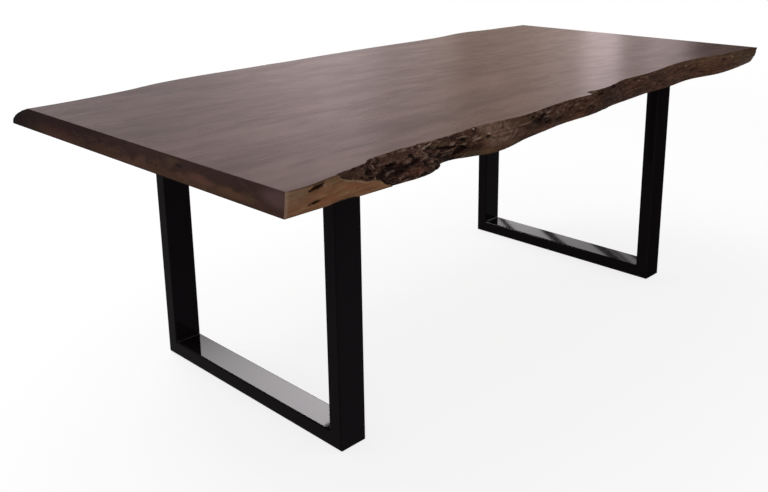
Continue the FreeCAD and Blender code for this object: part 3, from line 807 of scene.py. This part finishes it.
def board_finish(board, pith_y, pith_z, seed):
    """Stained, oiled hardwood: rings about a pith that runs along X, clouds, wisps and streaks of stain,
    and pores, in stain colours that carry part of the top's sheen as painted sheen. The oil's film is a
    coat, which the sawn ends and the underside lack. The ends are dry, dark end grain, darkened further as
    painted shade and near black towards the back, with the marks of END_MARKS, one of them a painted sheen."""
    ring_pitch = 0.0125
    band_pitch = 0.052
    f = Finish(board + "_wood")
    x, y, z = f.axes()
    drift = f.noise((0.9, 1.5, 1.5), 2, seed)
    sway = f.noise((2.6, 9, 9), 3, seed + 1)
    across = y - pith_y + (drift - 0.5) * 0.16 + (sway - 0.5) * 0.020
    depth = z - pith_z
    radius = (across * across + depth * depth) ** 0.5
    rings = f.maths("SINE", radius * (2 * math.pi / ring_pitch)) * 0.5 + 0.5
    bands = f.maths("SINE", radius * (2 * math.pi / band_pitch)) * 0.5 + 0.5
    clouds = f.noise((2.1, 9, 9), 4, seed + 2, 1.0)
    wisps = f.noise((7.0, 21, 21), 3, seed + 8, 1.1)
    streaks = f.noise((3.4, 60, 60), 4, seed + 3, 0.5)
    fibres = f.noise((26, 700, 700), 3, seed + 4)
    pores = f.step(0.60, 0.72, f.noise((42, 1150, 1150), 2, seed + 5))
    tone = clouds * 0.50 + wisps * 0.32 + streaks * 0.12 + bands * 0.08 + rings * 0.04 + fibres * 0.02
    side = f.coats(
        f.blend(f.step(0.36, 0.80, tone), STAIN_AND_SHEEN_DARK, STAIN_AND_SHEEN_LIGHT),
        (0.30, STAIN_AND_SHEEN),
        (f.step(0.54, 0.72, wisps) * 0.14, paint(66, 49, 48)),
        (pores * 0.22, paint(54, 41, 37)),
    )
    patches = f.noise((3, 16, 34), 4, seed + 6, 1.2)
    above = (TOP - z) / THICKNESS + (patches - 0.5) * 1.5
    lower = f.step(0.34, 0.74, above) * (0.25 + f.step(-0.52, -0.34, y) * 0.75)
    blotches = f.noise((3, 9, 30), 3, seed + 15, 0.6)
    warm = f.blend(f.step(0.40, 0.60, blotches), END_LIGHT, paint(91, 64, 54))
    grain = f.noise((60, 60, 9), 3, seed + 9)
    end_pores = f.step(0.58, 0.68, f.noise((60, 900, 900), 2, seed + 7))
    end = f.coats(
        f.blend(lower, END_DARK, warm),
        (f.step(0.42, 0.66, patches) * 0.35, paint(72, 51, 47)),
        (f.step(0.50, 0.75, grain) * 0.35, paint(38, 27, 25)),
        (f.step(0.25, 0.95, rings) * 0.14, paint(44, 32, 28)),
        (end_pores * 0.35, paint(32, 23, 21)),
        (1 - f.step(0.0008, 0.0030, z - UNDERSIDE), paint(28, 20, 18)),
        (f.step(-0.14, 0.20, y) * (0.76 - lower * 0.38), paint(37, 20, 20)),
    )
    low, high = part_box(board)
    drawn_y = y + (patches - 0.5) * 0.08
    drawn_z = z + (grain - 0.5) * 0.008
    for mark_y, mark_z, half_y, half_z, strength, colour in END_MARKS:
        if low.y - half_y < mark_y < high.y + half_y:
            mark = f.spot(drawn_y, drawn_z, (mark_y, mark_z), (half_y, half_z))
            end = f.blend(mark * (1 - f.step(-0.5, 0.5, x)) * strength, end, colour)
    end = f.blend(f.step(0.33, 0.53, y) * 0.85, end, paint(20, 14, 15))
    at_end = f.step(HALF_LENGTH - 0.0016, HALF_LENGTH - 0.0006, f.maths("ABSOLUTE", x))
    filmed = f.step(UNDERSIDE + 0.3 * THICKNESS, UNDERSIDE + 0.6 * THICKNESS, z)
    height = streaks * 0.35 + fibres * 0.30 - pores * 0.6
    f.set(
        Base_Color=f.blend(at_end, side, end),
        Roughness=0.58 + (streaks - 0.5) * 0.12 + at_end * 0.2,
        Coat_Weight=(0.91 + (wisps - 0.5) * 0.4 - pores * 0.14) * (1 - at_end * 0.98) * filmed,
        Normal=f.relief(height, 0.00008, 0.05),
        Specular_IOR_Level=0.03,
        Coat_Roughness=0.19,
        Coat_IOR=1.42,
    )
    return f.material


BARK_STOPS = (
    (0.00, paint(18, 8, 5)),
    (0.34, paint(37, 21, 16)),
    (0.66, paint(61, 40, 32)),
    (0.86, paint(90, 68, 58)),
    (1.00, paint(116, 96, 88)),
)


def edge_finish(name, painted_shade):
    """A live edge: tan sawn wood, bark, burl and long fibres, chosen by the masks on the mesh, with an oil
    film that shines only on the palest flakes. Painted shade darkens the bark's recesses and the hollows,
    some pale spots are painted glints, and the last argument darkens the whole edge as painted shade."""
    f = Finish(name)
    mask = {part: f.mask(part) for part in MASKS}
    clouds = f.noise((14, 40, 40), 4, 31, 0.8)
    hatch = f.noise((40, 300, 520), 3, 32, 0.4)
    flecks = f.noise((75, 200, 300), 3, 36, 1.4)
    grit = f.noise((300, 420, 420), 4, 33)
    lines = f.noise((8, 90, 240), 4, 34, 0.6)
    fibre_tone = f.step(0.28, 0.78, mask["strand"] * 0.55 + clouds * 0.25 + hatch * 0.20)
    fibre = f.coats(
        f.blend(fibre_tone, paint(42, 24, 18), paint(96, 65, 47)),
        (f.step(0.55, 0.70, flecks) * 0.40, paint(116, 90, 72)),
        (f.step(0.58, 0.74, hatch) * 0.35, paint(34, 22, 18)),
    )
    # Bark dark in its recesses and light on its crests: painted shade
    bark_tone = mask["crest"] * 0.60 + flecks * 0.30 + clouds * 0.22 - 0.04
    bark = f.coats(
        f.node("ValToRGB", {"stops": BARK_STOPS}, {"Fac": f.step(0.24, 0.82, bark_tone)}),
        (f.step(0.50, 0.66, clouds) * 0.35, paint(60, 39, 31)),
        (mask["flake"] * f.step(0.46, 0.64, flecks) * 0.56, paint(124, 105, 97)),
    )
    figure_tone = f.step(0.25, 0.80, mask["swirl"] * 0.40 + lines * 0.35 + flecks * 0.25)
    figure = f.blend(figure_tone, paint(50, 31, 23), paint(138, 109, 93))
    soot = f.noise((22, 60, 60), 4, 37, 1.0)
    smudges = f.noise((30, 160, 160), 3, 38, 0.8)
    tan = f.coats(
        f.blend(f.step(0.34, 0.68, lines * 0.5 + soot * 0.5), paint(94, 64, 43), paint(140, 104, 76)),
        (f.step(0.46, 0.64, clouds) * 0.55, paint(118, 79, 56)),
        (f.step(0.56, 0.70, smudges) * 0.45, paint(78, 55, 40)),
    )
    colour = f.coats(
        fibre,
        (mask["burl"], figure),
        (mask["rough"], bark),
        (mask["sawn"], tan),
        (mask["olive"] * (0.40 + mask["sawn"] * 0.35), paint(104, 86, 62)),
        (mask["rust"] * 0.58, f.blend(mask["sawn"], paint(98, 61, 46), paint(128, 80, 55))),
        (mask["stain"] * 0.75, paint(50, 36, 30)),
        # Hollows painted near black: painted shade
        (f.step(0.06, 0.95, mask["hollow"]) * 0.88, paint(22, 12, 9)),
        # Pale wood and flakes, and painted glints where the pale spots are strongest
        (mask["pale"] * 0.80, paint(156, 134, 116)),
        # The whole edge darkened by this share: painted shade
        (painted_shade, paint(16, 11, 11)),
    )
    height = hatch * 0.40 * (1 - mask["rough"]) + flecks * 0.35 + grit * (0.25 + mask["rough"] * 0.5)
    f.set(
        Base_Color=colour,
        Roughness=0.62 + (grit - 0.5) * 0.30,
        Coat_Weight=f.step(0.55, 0.95, mask["pale"]) * 0.7,
        Normal=f.relief(height, 0.0011, 0.6),
        Specular_IOR_Level=0.035,
        Coat_Roughness=0.18,
        Coat_IOR=1.45,
    )
    return f.material


def steel_finish(name, roughness, gloss):
    """Glossy black enamel on steel: a trace of orange peel, faint wipe marks and dust."""
    f = Finish(name)
    peel = f.noise((240, 240, 240), 2, 51)
    wipe = f.noise((5, 5, 9), 3, 52)
    dust = f.step(0.66, 0.80, f.noise((900, 900, 900), 2, 53))
    f.set(
        Base_Color=f.blend(dust * 0.15, paint(21, 17, 20), paint(40, 38, 40)),
        Roughness=roughness + (wipe - 0.4) * 0.03 + dust * 0.05,
        Normal=f.relief(peel, 0.00006, 0.12),
        Specular_IOR_Level=gloss,
    )
    return f.material


def zinc_finish():
    """Blue-white zinc plating, with a mottle and fine turning marks."""
    f = Finish("zinc_plate")
    mottle = f.noise((160, 160, 160), 3, 61)
    marks = f.noise((60, 60, 1800), 2, 62)
    f.set(
        Base_Color=f.blend(mottle, paint(150, 154, 158), paint(196, 198, 196)),
        Metallic=1.0,
        Roughness=0.30 + (mottle - 0.5) * 0.25,
        Normal=f.relief(marks, 0.00004, 0.5),
    )
    return f.material


def glide_finish():
    """Dark grey moulded plastic with a fine sparked grain."""
    f = Finish("glide_polymer")
    grain = f.noise((1400, 1400, 1400), 2, 71)
    f.set(
        Base_Color=f.blend(grain, paint(34, 34, 35), paint(48, 48, 49)),
        Roughness=0.55 + (grain - 0.5) * 0.2,
        Normal=f.relief(grain, 0.00005, 0.6),
    )
    return f.material


WHITE = (1, 1, 1, 1)


def stage_white(name, lift):
    """A pale ground that takes the table's shadow: matt white, lifted where a camera or a gloss sees it,
    and pure white far from the table."""
    f = Finish(name)
    x, y = f.axes()[:2]
    far = f.step(2.2, 5.5, (x * x + y * y) ** 0.5)
    matt = f.node("BsdfDiffuse", None, {"Color": (0.75, 0.75, 0.75, 1)})
    faint = f.node("BsdfDiffuse", None, {"Color": (1 - lift, 1 - lift, 1 - lift, 1)})
    glow = f.node("Emission", None, {"Color": WHITE, "Strength": lift + 0.06})
    near = f.node("AddShader", None, {0: faint, 1: glow})
    white = f.node("Emission", None, {"Color": WHITE, "Strength": 1.0})
    shown = f.node("MixShader", None, {0: far, 1: near, 2: white})
    f.show(f.node("MixShader", None, {0: f.seen(), 1: matt, 2: shown}))
    return f.material


def soft_box(name, place, width, height, radiance):
    """A rectangular lamp facing the table. Its power is pi times its area times its radiance."""
    aim = (0, 0, 0.6)
    lamp = bpy.data.lights.new(name, "AREA")
    lamp.shape = "RECTANGLE"
    lamp.size = width
    lamp.size_y = height
    lamp.energy = math.pi * width * height * radiance
    box = bpy.data.objects.new(name, lamp)
    bpy.context.scene.collection.objects.link(box)
    facing = Vector(place) - Vector(aim)
    box.location = place
    box.rotation_euler = facing.to_track_quat("Z", "Y").to_euler()
    box.visible_camera = False


def glow_sheet(name, points, faces, axis, places, levels, shares, warmths, cool, warm):
    """A sheet that shows only in the table's gloss. Its level changes evenly between two places on an
    axis, times the share that each point carries, and its colour goes from cool to warm."""
    sheet = put_in_mesh(name, points, faces)
    sheet.data.attributes.new("share", "FLOAT", "POINT").data.foreach_set("value", shares)
    sheet.data.attributes.new("warmth", "FLOAT", "POINT").data.foreach_set("value", warmths)
    f = Finish(name + "_glow")
    sockets = {"Value": f.axes()[axis], "From Min": places[0], "From Max": places[1],
               "To Min": levels[0], "To Max": levels[1]}
    strength = f.node("MapRange", None, sockets) * f.mask("share")
    colour = f.blend(f.mask("warmth"), cool, warm)
    f.show(f.node("Emission", None, {"Color": colour, "Strength": strength}))
    sheet.data.materials.append(f.material)
    sheet.visible_camera = False
    sheet.visible_diffuse = False
    sheet.visible_shadow = False


def room_wall():
    """The room as the table's top mirrors it: a curved sheet round the camera, as bright and as warm at
    its foot as ROOM says, and dimmer with height."""
    away = 20
    tall = 18
    heights = (0, 12)
    levels = (1.0, 0.20)
    cool = (1.0, 0.88, 0.94, 1)
    warm = (1.0, 0.765, 0.65, 1)
    count = len(ROOM)
    turns = np.radians(ROOM[:, 0])
    x = CAMERA_PLACE[0] + away * np.cos(turns)
    y = CAMERA_PLACE[1] + away * np.sin(turns)
    foot = np.stack((x, y, np.zeros(count)), axis=-1)
    head = np.stack((x, y, np.full(count, tall)), axis=-1)
    across = np.arange(count - 1)
    faces = np.stack((across, across + 1, across + 1 + count, across + count), axis=-1).tolist()
    points = np.concatenate((foot, head))
    shares, warmths = np.tile(ROOM[:, 1:], (2, 1)).T
    glow_sheet("room_wall", points, faces, 2, heights, levels, shares, warmths, cool, warm)


def pane(name, middle_x, half_width, first, last, slant, levels):
    """A level pane a little below the slab's top, behind the table, which the rails mirror. Its two short
    sides run askew by the slant."""
    drop = 0.015
    pale = (1.0, 0.955, 0.985, 1)
    reach = np.array((-half_width, half_width))
    x = middle_x + np.tile(reach, 2)
    y = np.repeat((first, last), 2) + slant * np.tile(reach, 2)
    points = np.stack((x, y, np.full(4, TOP - drop)), axis=-1)
    glow_sheet(name, points, [(0, 1, 3, 2)], 1, (first, last), levels, np.ones(4), np.zeros(4), pale, pale)


def black_card(name, corners):
    """A black card just above the floor, with these corners, that shows only in the table's gloss."""
    lift = 0.0015
    black = (0, 0, 0, 1)
    points = np.column_stack((corners, np.full(len(corners), lift)))
    glow_sheet(name, points, [(0, 1, 2, 3)], 2, (0, 1), (0, 0), np.ones(4), np.zeros(4), black, black)


def set_world(diffuse_level):
    """Even light from all round, white where a camera, a gloss or a clear material sees it."""
    world = bpy.data.worlds.new("studio")
    bpy.context.scene.world = world
    world.use_nodes = True
    nodes = Nodes(world.node_tree)
    sky = nodes.tree.nodes["Background"].inputs
    nodes.feed(sky["Color"], WHITE)
    sockets = {"Value": nodes.seen(), "To Min": diffuse_level, "To Max": 1.0}
    nodes.feed(sky["Strength"], nodes.node("MapRange", None, sockets))


def set_camera():
    """The photograph's viewpoint: turned from +X towards +Y, tilted down, and rolled slightly."""
    turned = 45.10
    tilted = 15.16
    rolled = 0.78
    lens = bpy.data.cameras.new("camera")
    lens.sensor_width = 36
    lens.lens = 42.32
    lens.shift_y = -0.12
    camera = bpy.data.objects.new("camera", lens)
    bpy.context.scene.collection.objects.link(camera)
    turn = Matrix.Rotation(math.radians(turned - 90), 4, "Z")
    tilt = Matrix.Rotation(math.radians(90 - tilted), 4, "X")
    roll = Matrix.Rotation(math.radians(-rolled), 4, "Z")
    camera.matrix_world = Matrix.Translation(CAMERA_PLACE) @ turn @ tilt @ roll
    bpy.context.scene.camera = camera


def dress(node, material):
    """Gives a CAD node its finish."""
    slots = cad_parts[node].data.materials
    slots.clear()
    slots.append(material)


def stand_for(piece, node):
    """The piece rides on the table's one body and shows in place of a CAD node."""
    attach(piece, "root")
    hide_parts(node)


# Boards, with the Y and Z of each one's own pith, which runs below or above the slab
PITHS = {
    "front_live_edge_board": (-0.25, TOP - 0.16),
    "front_centre_board": (-0.17, TOP + 0.11),
    "middle_board": (0.05, TOP - 0.13),
    "back_centre_board": (0.24, TOP + 0.15),
    "back_live_edge_board": (0.30, TOP - 0.19),
}
board_materials = {}
for index, (board, pith) in enumerate(PITHS.items()):
    board_materials[board] = board_finish(board, *pith, seed=10 * index)
for board in ("front_centre_board", "middle_board", "back_centre_board"):
    dress(board, board_materials[board])

# Sections of the front edge, in metres from the left end, lie closer in the bark than in the fibres.
BARK_ENDS = 0.960
FIBRES_BEGIN = 0.962
bark_stations = np.linspace(END_ARRIS - HALF_LENGTH, BARK_ENDS - HALF_LENGTH, 835)
fibre_stations = np.linspace(FIBRES_BEGIN - HALF_LENGTH, HALF_LENGTH - END_ARRIS, 543)
front_board = live_edge_board("front_live_edge", -1, FRONT_GLUE_LINE, FRONT_REACH, FRONT_EDGE_SHARES,
                              front_relief, np.concatenate((bark_stations, fibre_stations)), rows=40)
front_board.data.materials.append(edge_finish("front_edge_wood", painted_shade=0.0))
front_board.data.materials.append(board_materials["front_live_edge_board"])
stand_for(front_board, "front_live_edge_board")

back_stations = np.linspace(END_ARRIS - HALF_LENGTH, HALF_LENGTH - END_ARRIS, 1300)
back_board = live_edge_board("back_live_edge", 1, BACK_GLUE_LINE, BACK_REACH, BACK_EDGE_SHARES,
                             back_relief, back_stations, rows=38)
# The back edge is darkened towards near black: partly its bark's dark colour, partly painted shade
back_board.data.materials.append(edge_finish("back_edge_wood", painted_shade=0.45))
back_board.data.materials.append(board_materials["back_live_edge_board"])
stand_for(back_board, "back_live_edge_board")

# Frames
enamel = steel_finish("black_enamel", roughness=0.04, gloss=0.012)
bead_enamel = steel_finish("bead_enamel", roughness=0.16, gloss=0.20)
zinc = zinc_finish()
polymer = glide_finish()
for hand in ("left", "right"):
    for node in ("front_upright", "back_upright", "floor_rail", "top_plate"):
        dress(hand + "_" + node, enamel)
    dress(hand + "_plate_welds", bead_enamel)
    for node in ("bolts", "washers", "inserts"):
        dress(hand + "_" + node, zinc)
    for node in ("front_glide", "back_glide"):
        dress(hand + "_" + node, polymer)
    low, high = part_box(hand + "_corner_welds")
    rail_top = low.z
    front_corner = ((low.x, low.y, rail_top), (high.x, low.y, rail_top), (0, 1, 0), (0, 0, 1))
    back_corner = ((low.x, high.y, rail_top), (high.x, high.y, rail_top), (0, -1, 0), (0, 0, 1))
    beads = weld_bead(hand + "_corner_beads", (front_corner, back_corner))
    beads.data.materials.append(bead_enamel)
    stand_for(beads, hand + "_corner_welds")

# Studio
FLOOR_REACH = 40
floor_corners = np.array(((-1, -1, 0), (1, -1, 0), (1, 1, 0), (-1, 1, 0)), dtype=float) * FLOOR_REACH
floor = put_in_mesh("floor", floor_corners, [(0, 1, 2, 3)])
floor.data.materials.append(stage_white("floor_white", lift=0.72))
set_world(diffuse_level=0.55)
soft_box("top_box", (-0.5, 3.2, 3.9), width=3.0, height=3.0, radiance=3.0)
soft_box("front_box", (-2.6, -3.4, 3.4), width=3.2, height=2.4, radiance=1.2)
room_wall()
# Each pane's middle and half width in X, first and last Y, slant, and the levels at these two
PANES = (
    ("left_pane", 0.06, 0.50, 0.585, 1.70, 0, (72.0, 7.2)),
    ("right_pane_end", 2.27, 0.26, 0.560, 0.640, 1.50, (6.0, 6.0)),
    ("right_pane_dim", 2.27, 0.26, 0.640, 0.690, 1.50, (1.6, 1.6)),
    ("right_pane_near", 2.27, 0.26, 0.690, 0.708, 1.50, (5.0, 5.0)),
    ("right_pane_second", 2.27, 0.26, 0.808, 1.072, 1.60, (7.2, 8.0)),
    ("right_pane_third", 2.27, 0.26, 1.168, 1.440, 1.50, (9.4, 10.8)),
    ("right_pane_far", 2.27, 0.26, 1.498, 1.780, 1.34, (8.2, 8.2)),
)
for row in PANES:
    pane(*row)
black_card("right_card", ((0.645, -0.333), (0.755, -0.333), (4.60, -2.30), (4.05, -2.30)))
set_camera()

scene = bpy.context.scene
scene.view_settings.view_transform = "Standard"
bpy.context.view_layer.update()
